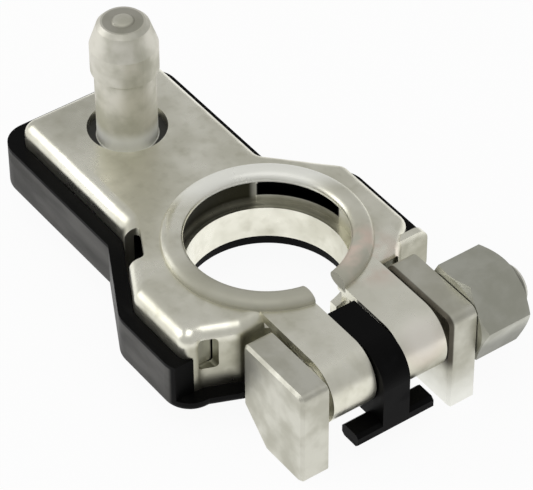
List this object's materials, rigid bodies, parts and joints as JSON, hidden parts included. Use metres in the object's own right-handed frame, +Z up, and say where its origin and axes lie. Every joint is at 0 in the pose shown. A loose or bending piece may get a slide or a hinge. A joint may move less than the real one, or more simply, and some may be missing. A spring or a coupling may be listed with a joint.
{
  "type": "battery terminal clamp",
  "caption": "Folded plated clamp for a battery post, on a moulded black carrier, with a connecting stud, a pinch bolt, a hex nut and a T-shaped gap spacer.",
  "frame": {"origin": "on the battery post's axis, at the lower face of the terminal's sheet", "axes": "+Z up along the post, +X towards the pinch ears, +Y towards the nut"},
  "size_m": [0.0605, 0.0393, 0.029],
  "materials": {
    "plated_sheet": "tin plated, satin",
    "plated_steel": "zinc plated, satin",
    "black_plastic": "moulded, slightly worn"
  },
  "bodies": {
    "terminal": {"terminal_body": "plated_sheet", "carrier": "black_plastic", "stud": "plated_steel", "spacer": "black_plastic"},
    "bolt": {"tee_bolt": "plated_steel"},
    "plate": {"thrust_plate": "plated_steel"},
    "nut": {"hex_nut": "plated_steel"}
  },
  "joints": [
    {"name": "bolt_float", "type": "slide", "parent": "terminal", "child": "bolt", "axis": [0, 1, 0], "range_m": [0, 0.0005]},
    {"name": "plate_travel", "type": "slide", "parent": "bolt", "child": "plate", "axis": [0, 1, 0], "range_m": [-0.0005, 0.0025]},
    {"name": "nut_turn", "type": "hinge", "parent": "plate", "child": "nut", "pos_m": [0.0188, 0.0153, 0.00415], "axis": [0, 1, 0], "range_deg": [-180, 900]}
  ],
  "couplings": [
    {"joint": "nut_turn", "follows": "plate_travel", "rad_per_m": 6283.2}
  ]
}
